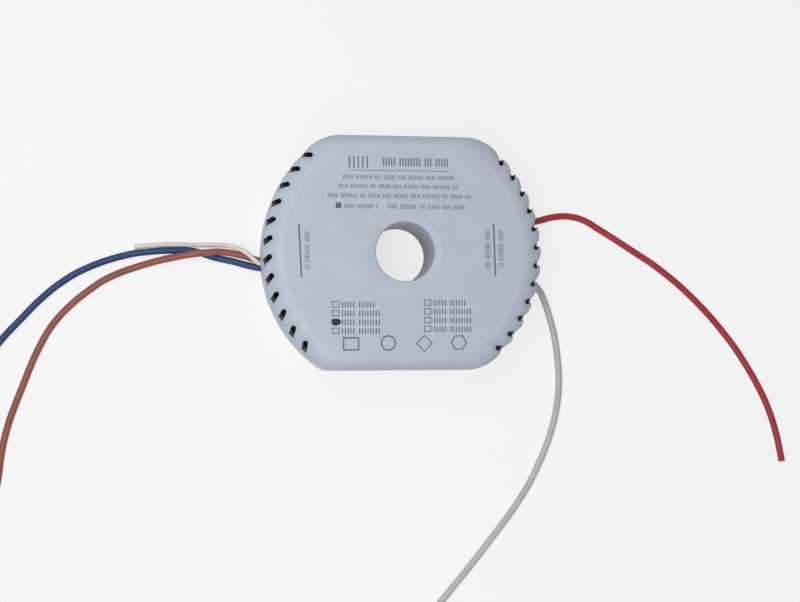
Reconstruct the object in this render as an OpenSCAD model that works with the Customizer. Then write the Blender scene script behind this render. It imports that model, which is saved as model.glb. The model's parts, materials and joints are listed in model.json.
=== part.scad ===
// LED driver in a round-sided plastic housing with a centre hole and loose connection leads.
// The driver lies on its base plate: the origin is the middle of the underside, on the axis of the bore,
// +Z points to the printed face, +X to the output leads.

/* [Housing] */
// Radius of the two round sides
body_r = 48; // [45:0.5:54]
// Width across the two flat sides
across_flats = 80; // [76:1:86]
// Overall height, base plate included
body_h = 24; // [22.5:0.5:30]
// Thickness of the cover's walls and face
wall = 2; // [1.6:0.1:2.4]
// Radius of the corners between flat and round sides, at the base
corner_r = 5; // [2:0.5:8]
// Radius of the same corners at the top of the wall
top_corner_r = 16; // [8:0.5:20]

/* [Shoulder] */
// Width of the rounded shoulder over the round sides
shoulder_w = 7; // [5:0.5:8]
// Width of the rounded edge over the flat sides
flat_edge_w = 3.6; // [2.5:0.1:5]
// Height from the top of the side wall to the face
shoulder_drop = 5; // [3.5:0.5:6]
// Corner radius of the flat face inside the shoulder
face_corner_r = 16; // [6:0.5:20]

/* [Centre bore] */
// Diameter of the hole through the driver
bore_d = 20; // [16:0.5:23]
// Wall of the tube that lines the hole
bore_wall = 2; // [1.6:0.1:2.5]
// Rounding of the hole's lip in the face
lip_r = 2.7; // [1.5:0.1:3.2]

/* [Vent slots] */
// Slots on each round side
slot_count = 12; // [8:1:13]
// Angle from slot to slot
slot_pitch = 8; // [7:0.5:9]
// Width of a slot
slot_w = 1.75; // [1.2:0.05:2.4]
// Lean of the slots away from the radius
slot_lean = 40; // [0:5:45]
// Distance from the round side in to the middle of a slot's rounded end
slot_reach = 2.4; // [2:0.1:3.2]
// Height of the slots' lower end above the base
slot_floor = 16; // [12:0.5:17.5]

/* [Base plate] */
// Thickness of the base plate
base_t = 2; // [1.5:0.1:3]
// Height of the locating rim inside the cover
rim_h = 2.2; // [1.5:0.1:3]
// Thickness of the locating rim
rim_t = 1.2; // [0.8:0.1:1.6]
// Gap between base plate and cover where they locate
fit_gap = 0.15; // [0.1:0.05:0.3]

/* [Circuit board] */
// Thickness of the board
board_t = 1.6; // [1:0.2:2]
// Height of the board's underside above the base plate
board_gap = 5; // [4.9:0.1:6]
// Gap between the board's edge and the walls
board_clear = 0.8; // [0.5:0.1:1.5]
// Free height between the tallest parts and the cover
head_room = 1.4; // [0.8:0.1:2]

/* [Case screws] */
// Thread diameter of the case screws
screw_d = 2.5; // [2:0.1:3]
// Diameter of the screw heads
screw_head_d = 5; // [4:0.1:5.4]
// Height of the screw heads
screw_head_h = 1.6; // [1.2:0.1:2]
// Depth of the screw heads below the underside
screw_sink = 0.8; // [0.4:0.1:1.2]
// Length of thread in the cover's posts
screw_grip = 6; // [4:0.5:8]
// Diameter of the posts and standoffs
post_d = 6.4; // [6:0.1:7.5]
// Gap between a post and the wall
post_gap = 2.4; // [1.5:0.1:4]
// Direction of the posts from the middle
post_angle = 43; // [38:1:46]

/* [Leads] */
// Outer diameter of the power leads
lead_d = 2.4; // [1.6:0.1:2.4]
// Outer diameter of the thin pale lead
pale_d = 1.6; // [1.2:0.1:1.6]
// Gap between a lead and its notch in the wall
lead_gap = 0.2; // [0.1:0.05:0.4]

/* [Transformer] */
// Width of the ferrite core
core_w = 20; // [16:0.5:22]
// Thickness of the ferrite core
core_t = 6; // [4:0.5:7]
// Width of the core's outer legs and yokes
core_leg = 2.6; // [2:0.1:3]
// Width of the core's middle leg
core_mid = 5; // [4:0.5:6]
// Wall of the bobbin
bobbin_wall = 0.8; // [0.6:0.1:1]
// Depth of the bobbin's flanges across the core
bobbin_depth = 15; // [13:0.5:17]
// Width of the bobbin's two pin rails
rail_w = 2; // [1.5:0.1:3]
// Gap between bobbin and core
bobbin_gap = 0.2; // [0.1:0.05:0.3]
// Setback of the winding from the flanges' edges
winding_setback = 0.6; // [0.3:0.1:1]

/* [Capacitors] */
// Diameter of the bulk capacitor
bulk_d = 10; // [8:0.5:10.5]
// Length of the bulk capacitor
bulk_l = 20; // [14:1:22]
// Diameter of the output capacitor
out_cap_d = 10; // [8:0.5:11]
// Diameter of the filter capacitor
filter_cap_d = 8; // [6.3:0.1:10]
// Height of the two standing capacitors
can_h = 11; // [8:0.5:11]
// Depth of the rolled groove in a capacitor's can
can_groove = 0.5; // [0.3:0.1:0.8]
// Length of the line capacitor
line_cap_l = 13; // [10:0.5:14]
// Thickness of the line capacitor
line_cap_t = 6; // [4:0.5:7]
// Height of the line capacitor
line_cap_h = 10; // [8:0.5:11]
// Diameter of the safety capacitor's disc
safety_cap_d = 7; // [5:0.5:8]
// Thickness of the safety capacitor's disc
safety_cap_t = 3.5; // [2.5:0.5:4]

/* [Mains side parts] */
// Diameter of the fuse
fuse_d = 4; // [3:0.5:4.5]
// Length of the fuse
fuse_l = 9; // [7:0.5:10]
// Diameter of the varistor's disc
varistor_d = 8; // [6:0.5:9]
// Thickness of the varistor's disc
varistor_t = 3.6; // [2.5:0.1:4]
// Outer diameter of the choke's ferrite ring
ring_od = 12; // [10:0.5:13]
// Inner diameter of the choke's ferrite ring
ring_id = 6; // [5:0.5:7]
// Height of the choke's ferrite ring
ring_h = 5; // [4:0.5:6]
// Thickness of the choke's windings
ring_wire = 0.9; // [0.6:0.1:1.2]
// Arc covered by each of the choke's windings
ring_arc = 130; // [90:5:150]
// Length of the bridge rectifier
bridge_l = 8.4; // [6:0.2:9]
// Width of the bridge rectifier
bridge_w = 6.4; // [5:0.2:7]
// Height of the bridge rectifier
bridge_h = 2.6; // [2:0.1:3.2]

/* [Power stage parts] */
// Width of the heat sink
sink_w = 14; // [11:0.5:15]
// Thickness of the heat sink
sink_t = 1.5; // [1:0.1:2]
// Length of the heat sink's foot
sink_foot = 4; // [3:0.5:5]
// Width of the transistor
fet_w = 10; // [8:0.5:10]
// Thickness of the transistor's body
fet_t = 3.2; // [2.5:0.1:3.5]
// Height of the transistor's body
fet_h = 7; // [6:0.5:8]
// Length of the transistor's legs above the board
fet_leg = 3; // [2:0.5:4]
// Thickness of the transistor's tab
tab_t = 1.2; // [0.8:0.1:1.4]
// Length of the controller chip
chip_l = 4.9; // [4:0.1:6]
// Width of the controller chip
chip_w = 3.9; // [3:0.1:4.5]
// Height of the controller chip
chip_h = 1.6; // [1.2:0.1:2]
// Length of the optocoupler
opto_l = 4.6; // [4:0.1:5]
// Width of the optocoupler
opto_w = 6.4; // [5:0.1:6.6]
// Height of the optocoupler
opto_h = 3.5; // [3:0.1:4]

/* [Output parts] */
// Diameter of the output diode
diode_d = 5.2; // [4:0.1:5.4]
// Length of the output diode
diode_l = 9.4; // [8:0.2:10]
// Diameter of the filter inductor's flanges
drum_d = 9; // [7:0.5:10]
// Height of the filter inductor
drum_h = 9; // [7:0.5:10]
// Thickness of the inductor's flanges
drum_flange = 1.4; // [1:0.1:1.8]
// Diameter of the inductor's middle
drum_mid = 4.4; // [3:0.2:5]
// Setback of the inductor's winding from the flanges' edges
drum_setback = 0.5; // [0.3:0.1:1]
// Length of the upright control board
control_l = 16; // [12:0.5:17]
// Thickness of the upright control board
control_t = 1; // [0.8:0.1:1.2]
// Side of the control board's chip
control_chip_w = 5; // [4:0.5:6]
// Height of the control board's chip
control_chip_h = 1; // [0.8:0.1:1.4]

/* [Hidden] */
$fn = 64;

// Overlap of a cutting shape past the face that it cuts
past = 1;
// Steps of the shoulder's curve and of the bore's lip
shoulder_steps = 7;
lip_steps = 6;
// Cuts that round each half of a corner's turn
corner_steps = 5;
// Steps round a slot's inner end and round the top of a lead's notch
slot_steps = 8;

half_flats = across_flats / 2;
shoulder_foot = body_h - shoulder_drop;
bore_r = bore_d / 2;
tube_r = bore_r + bore_wall;

// Cuts across the two flats and round the four corners: their directions, and the share of a step by which
// the shoulder's steps are moved up, so that no two neighbours have them at the same height
corner_from = max(corner_start(0, corner_r), corner_start(0, top_corner_r), corner_start(1, face_corner_r));
corner_turn = (90 - corner_from) / corner_steps;
side_cuts = [
    for (side = [90, 270], i = [-corner_steps : corner_steps])
        [side + sign(i) * (abs(i) - 1 / 2) * corner_turn, (1 + abs(i) % 2) / 3]
];

// Inside of the cover
cave_r = body_r - wall;
cave_half = half_flats - wall;
ceiling = body_h - wall;
// The ceiling slopes under the shoulder, so that the wall keeps its thickness there
slope_foot = shoulder_foot - wall / 2;
slope_r = body_r - shoulder_w + wall / 2;
slope_half = half_flats - flat_edge_w - wall / 2;

// Circuit board and the floor that its parts stand on
board_z = base_t + board_gap;
board_top = board_z + board_t;
board_r = cave_r - board_clear;
board_half = cave_half - board_clear;
tall_h = ceiling - board_top - head_room;

// Middle of the board's ring: at the round sides and at the flat sides
mid_x = (tube_r + board_r) / 2;
mid_y = (tube_r + board_half) / 2;

// Screw posts of the cover and standoffs of the base plate
post_r = cave_r - post_gap - post_d / 2;
post_xy = [post_r * cos(post_angle), post_r * sin(post_angle)];
screw_seat = screw_sink + screw_head_h;
screw_play = 0.25;
thread_play = 0.05;

// Leads lie on the base plate where they pass through the wall
lead_r = lead_d / 2;
pale_r = pale_d / 2;
lead_z = base_t + lead_r;
lead_sides = 8;
// The pale lead rests in the valley between two power leads
lead_pitch = lead_d + 0.05;
valley_rise = sqrt(pow(lead_r + pale_r, 2) - pow(lead_pitch / 2, 2));
// Where the leads cross the wall: middle of the left notch, directions of the two right ones
left_exit_y = -2.95;
red_exit_angle = 14.5;
white_exit_angle = -10.3;
notch_depth = 4;

// Legs of the parts on the board
leg_r = 0.35;
leg_t = 0.3;
leg_w = 0.5;
// Height at which discs stand clear of the board on their legs
stand_off = 1;
// Gap between neighbours, and turn of the safety capacitor beside the line capacitor with its reach each way
part_gap = 0.5;
safety_turn = -45;
safety_reach = (safety_cap_d + safety_cap_t) / 2 * cos(safety_turn);

// Places on the board, measured from the middle of its ring
transformer_at = [0, -mid_y];
bulk_at = [0, mid_y];
bridge_at = [-19, mid_y];
sink_at = [16, mid_y];
chip_at = [-19, -mid_y];
diode_at = [17.5, -mid_y];
choke_at = [1.6 - mid_x, 9.5];
line_cap_at = [1.6 - mid_x, -10.5];
fuse_at = [-mid_x - 10.9, 7];
varistor_at = [-mid_x - 9.4, -8.5];
safety_cap_at = line_cap_at + [line_cap_l / 2 + part_gap + safety_reach, -safety_reach];
opto_at = [tube_r + 5.4, -13.2];
out_cap_at = [mid_x - 3.6, 9];
filter_cap_at = [mid_x - 3.6, -8];
drum_at = [mid_x + 8.4, -8];
control_at = [mid_x + 7.4, 11];

// Winding window of the core and the bobbin in it
window_h = tall_h - 2 * core_leg;
bobbin_h = window_h - 2 * bobbin_gap;
bobbin_z = core_leg + bobbin_gap;
bobbin_hole = [core_mid + 2 * bobbin_gap, core_t + 2 * bobbin_gap];
bobbin_tube = bobbin_hole + 2 * bobbin_wall * [1, 1];
bobbin_w = core_w - 2 * core_leg - 2 * bobbin_gap;
winding_size = [bobbin_w, bobbin_depth] - 2 * winding_setback * [1, 1];

// Routes of the leads' centre lines, from under the board to the cut end
blue_route = [
    [-36, -6.8, 5.7], [-44, -4.2, 3.2], [-48.5, -4.2, 3.2], [-52.5, -3.3, 2.6], [-57.5, -1.9, 1.6],
    [-63.5, -0.6, 1.2], [-70.5, 1.5, 1.2], [-78, 1.8, 1.2], [-86, 1.3, 1.2], [-94, 0, 1.2],
    [-108, -5, 1.2], [-115, -9.2, 1.2], [-122, -15, 1.2], [-128.5, -21.8, 1.2], [-135, -29, 1.2],
    [-146, -44.5, 1.2]
];
brown_route = [
    [-36, 0.9, 5.7], [-44, -1.7, 3.2], [-48.5, -1.7, 3.2], [-52.5, -0.4, 3.2], [-62, 1.2, 3.4],
    [-66.5, 0.9, 3.7], [-71, 0.4, 3.5], [-80, -1.2, 1.9], [-86, -2.7, 1.2], [-100, -8, 1.2],
    [-106, -12, 1.2], [-112, -17, 1.2], [-117.5, -23, 1.2], [-121.5, -29.5, 1.2], [-128, -45, 1.2],
    [-133.5, -61.5, 1.2], [-136, -78, 1.2]
];
pale_route = [
    [-38, -2.95, 5], [-44.5, -2.95, 4.85], [-48, -2.9, 4.85], [-49.6, -2, 5.2], [-51.3, -0.4, 5.3],
    [-53.3, 1.2, 5.1], [-55.7, 2.4, 4.3], [-58.2, 3.2, 3], [-61, 3.7, 1.7], [-64, 3.8, 0.9],
    [-67.5, 3.8, 0.8], [-72, 3.8, 0.8], [-78, 3.85, 0.8], [-84.5, 3.6, 0.8], [-91, 2.9, 0.8]
];
red_route = [
    [36, 9.3, 5.7], [43, 11.1, 3.2], [47.5, 12.3, 3.2], [52, 13.4, 2.6], [57.5, 14.8, 1.6],
    [63, 15.1, 1.2], [68.5, 13.8, 1.2], [74, 10.7, 1.2], [88, 2, 1.2], [96, -3.2, 1.2],
    [110, -15, 1.2], [123, -29.6, 1.2], [128.5, -37.5, 1.2], [133.5, -46, 1.2], [137.5, -54.5, 1.2],
    [140.5, -64, 1.2], [142.5, -74, 1.2]
];
white_route = [
    [36, -6.6, 5.7], [43, -7.8, 3.2], [47.8, -8.7, 3.2], [51, -11.2, 2.7], [53.5, -15.7, 2],
    [55.5, -21.5, 1.4], [57.2, -28, 1.2], [58.3, -36, 1.2], [58.7, -45, 1.2], [57.6, -54.5, 1.2],
    [55, -64, 1.2], [50.8, -74, 1.2], [45.4, -83.8, 1.2], [32, -101.5, 1.2], [9.5, -128, 1.2]
];

function unit(v) = v / norm(v);

function dir(a) = [cos(a), sin(a)];

// Shoulder at one of its steps: how far it has drawn in, as a share of its width, and its height
function drawn_in(i) = 1 - cos(90 * i / shoulder_steps);

function shoulder_z(i) = shoulder_foot + shoulder_drop * sin(90 * i / shoulder_steps);

// Middle of a corner of radius r between flat and round side, where the shoulder has drawn in by this share
function corner_y(in, r) = half_flats - flat_edge_w * in - r;

function corner_x(in, r) = sqrt(pow(body_r - shoulder_w * in - r, 2) - pow(corner_y(in, r), 2));

// Direction in which that corner starts from the round side
function corner_start(in, r) = atan2(corner_y(in, r), corner_x(in, r));

// Distance from the axis to the outside across direction a: at such a corner, and anywhere on the shoulder
function corner_reach(a, in, r) = corner_x(in, r) * abs(cos(a)) + corner_y(in, r) * abs(sin(a)) + r;

function reach(a, in) = corner_reach(a, in, top_corner_r + (face_corner_r - top_corner_r) * in);

// Wall and shoulder across direction a, with the steps of its curve moved up by a share of a step
function side_profile(a, shift) =
    let (
        last = shoulder_steps - 1 + shift,
        rim = [reach(a, 1), body_h],
        below = [reach(a, drawn_in(last)), shoulder_z(last)]
    )
    concat(
        [[corner_reach(a, 0, corner_r), -past], [reach(a, 0), shoulder_z(shift)]],
        [for (i = [1 : shoulder_steps - 1]) [reach(a, drawn_in(i + shift)), shoulder_z(i + shift)]],
        [2 * rim - below, [reach(a, 1), body_h + past]]
    );

// Everything that lies outside the wall and shoulder across a cut's direction
module side_cut(cut) {
    far = 2 * body_r;
    rotate(cut[0])
        rotate([90, 0, 0])
            linear_extrude(2 * far, center = true)
                polygon(concat([[far, -past]], side_profile(cut[0], cut[1]), [[far, body_h + past]]));
}

// Form of the cover: turned profile with bore, lip and shoulder, cut back at the flats and the corners
module cover_form() {
    lip_mid = [bore_r + lip_r, body_h - lip_r];
    difference() {
        rotate_extrude()
            polygon(concat(
                [[bore_r, 0], [tube_r, 0], [tube_r, base_t], [body_r, base_t]],
                [for (i = [0 : shoulder_steps]) [body_r - shoulder_w * drawn_in(i), shoulder_z(i)]],
                [for (i = [0 : lip_steps]) lip_mid + lip_r * dir(90 + 90 * i / lip_steps)]
            ));
        for (cut = side_cuts) side_cut(cut);
    }
}

// Space inside the cover, round the bore's tube, with its sloping ceiling under the shoulder
module cover_space() {
    intersection() {
        rotate_extrude()
            polygon([
                [tube_r, base_t - past], [cave_r, base_t - past], [cave_r, slope_foot],
                [slope_r, ceiling], [tube_r, ceiling]
            ]);
        rotate([90, 0, 90])
            linear_extrude(2 * body_r, center = true)
                polygon([
                    [-cave_half, -past], [cave_half, -past], [cave_half, slope_foot],
                    [slope_half, ceiling], [slope_half, body_h], [-slope_half, body_h],
                    [-slope_half, ceiling], [-cave_half, slope_foot]
                ]);
    }
}

// Plan of one vent slot, along +X from its rounded inner end out through the wall
function slot_plan() =
    let (r = slot_w / 2, far = shoulder_w)
    concat(
        [[far, -r], [far, r]],
        [for (i = [0 : slot_steps]) r * dir(90 + 180 * i / slot_steps)]
    );

// All vent slots: each leans the same way round and is centred where it crosses the shoulder's edge
module vent_slots() {
    edge = slot_reach - slot_w / 2;
    for (side = [0, 180], i = [0 : slot_count - 1])
        rotate(side + slot_pitch * (i - (slot_count - 1) / 2))
            translate([body_r - slot_reach + edge, 0, slot_floor])
                rotate(slot_lean)
                    translate([-edge / cos(slot_lean), 0, 0])
                        linear_extrude(body_h) polygon(slot_plan());
}

// Round-topped notch for one lead, along +X, open at the lower edge of the wall
module lead_notch() {
    r = lead_r + lead_gap;
    translate([body_r - notch_depth, 0, 0])
        rotate([90, 0, 90])
            linear_extrude(2 * notch_depth)
                polygon(concat(
                    [[-r, base_t], [r, base_t]],
                    [for (i = [0 : slot_steps]) [0, lead_z] + r * dir(180 * i / slot_steps)]
                ));
}

// Openings for all leads: a wide one for three leads on the left, one each for the two on the right
module lead_notches() {
    half = lead_pitch / 2 + lead_r + lead_gap;
    translate([-body_r - notch_depth, left_exit_y - half, base_t])
        cube([2 * notch_depth, 2 * half, lead_r + valley_rise + pale_r + lead_gap]);
    rotate(red_exit_angle) lead_notch();
    rotate(white_exit_angle) lead_notch();
}

module at_posts() {
    for (sx = [-1, 1], sy = [-1, 1])
        translate([sx * post_xy[0], sy * post_xy[1], 0]) children();
}

module top_cover() {
    color("#c3cad6")
        difference() {
            cover_form();
            difference() {
                cover_space();
                at_posts() translate([0, 0, board_top]) cylinder(h = body_h, d = post_d);
            }
            vent_slots();
            lead_notches();
            at_posts() translate([0, 0, board_top - past])
                cylinder(h = screw_grip + 2 * past, d = screw_d + 2 * thread_play);
        }
}

module base_plate() {
    rim_r = cave_r - fit_gap;
    rim_half = cave_half - fit_gap;
    color("#d6d3cc")
        difference() {
            union() {
                difference() {
                    cylinder(h = base_t, r = body_r);
                    for (cut = side_cuts) side_cut(cut);
                }
                difference() {
                    intersection() {
                        cylinder(h = base_t + rim_h, r = rim_r);
                        cube([2 * body_r, 2 * rim_half, 2 * body_h], center = true);
                    }
                    intersection() {
                        cylinder(h = body_h, r = rim_r - rim_t);
                        cube([2 * body_r, 2 * (rim_half - rim_t), 2 * body_h], center = true);
                    }
                }
                at_posts() cylinder(h = board_z, d = post_d);
            }
            translate([0, 0, -past]) cylinder(h = body_h, r = tube_r + fit_gap);
            lead_notches();
            at_posts() {
                translate([0, 0, -past]) cylinder(h = body_h, d = screw_d + 2 * screw_play);
                translate([0, 0, -past]) cylinder(h = screw_seat + past, d = screw_head_d + 2 * screw_play);
            }
        }
}

// Pan-head screws from below, through standoff and board into the cover's posts
module case_screws() {
    slot_depth = screw_head_h / 2;
    slot_t = screw_d / 4;
    color("#b9bcc0")
        at_posts() {
            difference() {
                translate([0, 0, screw_sink]) cylinder(h = screw_head_h, d = screw_head_d);
                for (a = [0, 90])
                    rotate(a) translate([-screw_d / 2, -slot_t / 2, screw_sink - past])
                        cube([screw_d, slot_t, slot_depth + past]);
            }
            translate([0, 0, screw_seat]) cylinder(h = board_top + screw_grip - screw_seat, d = screw_d);
        }
}

module circuit_board() {
    color("#3f7d4a")
        translate([0, 0, board_z])
            linear_extrude(board_t)
                difference() {
                    intersection() {
                        circle(board_r);
                        square([2 * body_r, 2 * board_half], center = true);
                    }
                    circle(tube_r + board_clear);
                    at_posts() circle(d = screw_d + 2 * screw_play);
                }
}

// Moves to a place on top of the board
module on_board(at) {
    translate([at[0], at[1], board_top]) children();
}

// Box centred on its place, standing on the floor
module block(size) {
    translate([-size[0] / 2, -size[1] / 2, 0]) cube(size);
}

// Two legs from a part's underside down to the board
module two_legs(pitch, h) {
    for (s = [-1, 1]) translate([s * pitch / 2, 0, 0]) cylinder(h = h, r = leg_r, $fn = 16);
}

// Two lead wires of a part lying along X: out of its ends and down to the board
module end_legs(l, z) {
    reach = 2 * leg_r + stand_off / 2;
    for (s = [-1, 1]) {
        translate([s * (l / 2 + reach / 2), 0, z]) rotate([0, 90, 0])
            cylinder(h = reach, r = leg_r, center = true, $fn = 16);
        translate([s * (l / 2 + reach), 0, 0]) cylinder(h = z + leg_r, r = leg_r, $fn = 16);
    }
}

module transformer_core() {
    window_w = (core_w - core_mid) / 2 - core_leg;
    color("#4a4a4e")
        on_board(transformer_at)
            difference() {
                block([core_w, core_t, tall_h]);
                for (s = [-1, 1])
                    translate([s * (core_mid + window_w) / 2, 0, core_leg])
                        block([window_w, 2 * core_t, window_h]);
            }
}

module transformer_bobbin() {
    color("#23262b")
        on_board(transformer_at) {
            difference() {
                translate([0, 0, bobbin_z])
                    union() {
                        block([bobbin_w, bobbin_depth, bobbin_wall]);
                        translate([0, 0, bobbin_h - bobbin_wall])
                            block([bobbin_w, bobbin_depth, bobbin_wall]);
                        block([bobbin_tube[0], bobbin_tube[1], bobbin_h]);
                    }
                block([bobbin_hole[0], bobbin_hole[1], tall_h]);
            }
            for (s = [-1, 1])
                translate([0, s * (bobbin_depth - rail_w) / 2, 0]) block([bobbin_w, rail_w, bobbin_z]);
        }
}

module transformer_winding() {
    color("#d9b13b")
        on_board(transformer_at)
            translate([0, 0, bobbin_z + bobbin_wall])
                difference() {
                    block([winding_size[0], winding_size[1], bobbin_h - 2 * bobbin_wall]);
                    translate([0, 0, -past]) block([bobbin_tube[0], bobbin_tube[1], tall_h]);
                }
}

module choke_core() {
    color("#3d5a45")
        on_board(choke_at)
            translate([0, 0, ring_wire])
                difference() {
                    cylinder(h = ring_h, d = ring_od);
                    translate([0, 0, -past]) cylinder(h = ring_h + 2 * past, d = ring_id);
                }
}

// Two copper windings wrapped round opposite arcs of the ring
module choke_windings() {
    color("#b8743a")
        on_board(choke_at)
            for (a = [0, 180])
                rotate(a - ring_arc / 2)
                    rotate_extrude(angle = ring_arc)
                        difference() {
                            translate([ring_id / 2 - ring_wire, 0])
                                square([(ring_od - ring_id) / 2 + 2 * ring_wire, ring_h + 2 * ring_wire]);
                            translate([ring_id / 2, ring_wire]) square([(ring_od - ring_id) / 2, ring_h]);
                        }
}

module line_fuse() {
    cap_l = fuse_l / 5;
    bare = fuse_d / 2 - leg_r / 2;
    color("#c9c2a8")
        on_board(fuse_at) rotate(90) {
            translate([0, 0, fuse_d / 2]) rotate([0, 90, 0])
                rotate_extrude()
                    polygon([
                        [0, -fuse_l / 2], [fuse_d / 2, -fuse_l / 2], [fuse_d / 2, cap_l - fuse_l / 2],
                        [bare, cap_l - fuse_l / 2], [bare, fuse_l / 2 - cap_l],
                        [fuse_d / 2, fuse_l / 2 - cap_l], [fuse_d / 2, fuse_l / 2], [0, fuse_l / 2]
                    ]);
            end_legs(fuse_l, fuse_d / 2);
        }
}

// Coated disc that stands on two legs, thick in the middle and thin at its edge
module disc_part(d, t) {
    translate([0, 0, stand_off + d / 2]) rotate([90, 0, 0])
        rotate_extrude()
            polygon([
                [0, -t / 2], [d / 2 - t / 4, -t / 2], [d / 2, -t / 4],
                [d / 2, t / 4], [d / 2 - t / 4, t / 2], [0, t / 2]
            ]);
    two_legs(d / 2, stand_off + d / 3);
}

module surge_varistor() {
    color("#2f5fa8") on_board(varistor_at) rotate(90) disc_part(varistor_d, varistor_t);
}

module safety_capacitor() {
    color("#2b6cb0") on_board(safety_cap_at) rotate(safety_turn) disc_part(safety_cap_d, safety_cap_t);
}

// Moulded box with bevelled upright edges
module line_capacitor() {
    bevel = line_cap_t / 8;
    x = line_cap_l / 2;
    y = line_cap_t / 2;
    color("#d8b332")
        on_board(line_cap_at)
            linear_extrude(line_cap_h)
                polygon([
                    [-x + bevel, -y], [x - bevel, -y], [x, -y + bevel], [x, y - bevel],
                    [x - bevel, y], [-x + bevel, y], [-x, y - bevel], [-x, -y + bevel]
                ]);
}

// Row of flat legs along both long sides of a chip's body, standing on the board
module chip_legs(l, w, h, count) {
    reach = leg_w * 2;
    for (s = [-1, 1], i = [0 : count - 1]) {
        x = l * ((i + 0.5) / count - 0.5);
        translate([x, s * (w / 2 + reach / 2), 0]) block([leg_w, reach, leg_t]);
        translate([x, s * (w / 2 + leg_t / 2), 0]) block([leg_w, leg_t, h / 2 + leg_t]);
    }
}

// Moulded chip body with a chamfered long edge over its first leg row
module chip_body(l, w, h) {
    cut = h / 4;
    translate([-l / 2, 0, 0]) rotate([90, 0, 90])
        linear_extrude(l)
            polygon([[-w / 2, leg_t], [w / 2, leg_t], [w / 2, h], [-w / 2 + cut, h], [-w / 2, h - cut]]);
}

module bridge_rectifier() {
    color("#2a2a2c")
        on_board(bridge_at) {
            chip_body(bridge_l, bridge_w, bridge_h);
            chip_legs(bridge_l, bridge_w, bridge_h, 2);
        }
}

module controller_chip() {
    color("#2a2a2c")
        on_board(chip_at) {
            chip_body(chip_l, chip_w, chip_h);
            chip_legs(chip_l, chip_w, chip_h, 4);
        }
}

module optocoupler() {
    color("#e4e2da")
        on_board(opto_at) {
            chip_body(opto_l, opto_w, opto_h);
            chip_legs(opto_l, opto_w, opto_h, 2);
        }
}

// Aluminium can of an electrolytic capacitor along +Z, with its rolled groove near the open end
function can_profile(d, h) =
    let (r = d / 2, g = can_groove, z = d / 4)
    [[0, 0], [r - g, 0], [r, g], [r, z - g], [r - g, z], [r, z + g], [r, h - g], [r - g, h], [0, h]];

module bulk_capacitor() {
    color("#30343c")
        on_board(bulk_at) {
            translate([-bulk_l / 2, 0, bulk_d / 2]) rotate([0, 90, 0])
                rotate_extrude() polygon(can_profile(bulk_d, bulk_l));
            for (s = [-1, 1])
                translate([-bulk_l / 2, s * bulk_d / 4, 0]) {
                    translate([-stand_off, 0, bulk_d / 2]) rotate([0, 90, 0])
                        cylinder(h = stand_off, r = leg_r, $fn = 16);
                    translate([-stand_off, 0, 0]) cylinder(h = bulk_d / 2 + leg_r, r = leg_r, $fn = 16);
                }
        }
}

module output_capacitor() {
    color("#343a52")
        on_board(out_cap_at) rotate_extrude() polygon(can_profile(out_cap_d, can_h));
}

module filter_capacitor() {
    color("#343a52")
        on_board(filter_cap_at) rotate_extrude() polygon(can_profile(filter_cap_d, can_h));
}

// Upright plate on a folded foot
module heat_sink() {
    color("#aeb3b8")
        on_board(sink_at) {
            block([sink_t, sink_w, tall_h]);
            translate([sink_foot / 2, 0, 0]) block([sink_foot, sink_w, sink_t]);
        }
}

// Transistor that stands with its tab flat against the heat sink
module power_transistor() {
    face = -sink_t / 2;
    hole_z = fet_leg + fet_h + (tall_h - fet_leg - fet_h) / 2;
    leg_pitch = fet_w / 4;
    color("#2a2a2c")
        on_board(sink_at) {
            translate([face - tab_t / 2, 0, fet_leg])
                difference() {
                    block([tab_t, fet_w, tall_h - fet_leg]);
                    translate([0, 0, hole_z - fet_leg]) rotate([0, 90, 0])
                        cylinder(h = 2 * tab_t, d = (tall_h - fet_leg - fet_h) / 2, center = true);
                }
            translate([face - tab_t - fet_t / 2, 0, fet_leg]) block([fet_t, fet_w, fet_h]);
            for (i = [-1 : 1])
                translate([face - tab_t - fet_t / 2, i * leg_pitch, 0]) block([leg_w, leg_w, fet_leg]);
        }
}

module output_diode() {
    color("#232325")
        on_board(diode_at) rotate(90) {
            translate([-diode_l / 2, 0, diode_d / 2]) rotate([0, 90, 0]) cylinder(h = diode_l, d = diode_d);
            end_legs(diode_l, diode_d / 2);
        }
}

module inductor_core() {
    color("#45464a")
        on_board(drum_at)
            rotate_extrude()
                polygon([
                    [0, 0], [drum_d / 2, 0], [drum_d / 2, drum_flange], [drum_mid / 2, drum_flange],
                    [drum_mid / 2, drum_h - drum_flange], [drum_d / 2, drum_h - drum_flange],
                    [drum_d / 2, drum_h], [0, drum_h]
                ]);
}

module inductor_winding() {
    color("#b8743a")
        on_board(drum_at)
            translate([0, 0, drum_flange])
                difference() {
                    cylinder(h = drum_h - 2 * drum_flange, d = drum_d - 2 * drum_setback);
                    translate([0, 0, -past]) cylinder(h = drum_h, d = drum_mid);
                }
}

module control_board() {
    color("#2f6b78")
        on_board(control_at) block([control_t, control_l, tall_h]);
}

// Flat square chip on the inner face of the upright control board
module control_chip() {
    color("#2a2a2c")
        on_board(control_at)
            translate([-(control_t + control_chip_h) / 2, 0, (tall_h - control_chip_w) / 2])
                block([control_chip_h, control_chip_w, control_chip_w]);
}

// Direction of a route at one of its points
function heading(route, i) =
    unit(route[min(i + 1, len(route) - 1)] - route[max(i - 1, 0)]);

// Ring of a round lead at one point of its route, square to the route
function lead_ring(route, r, i) =
    let (
        t = heading(route, i),
        side = unit(cross([0, 0, 1], t)),
        up = cross(t, side)
    )
    [for (k = [0 : lead_sides - 1])
        let (a = 360 * (k + 0.5) / lead_sides)
        route[i] + r * (cos(a) * side + sin(a) * up)];

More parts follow.
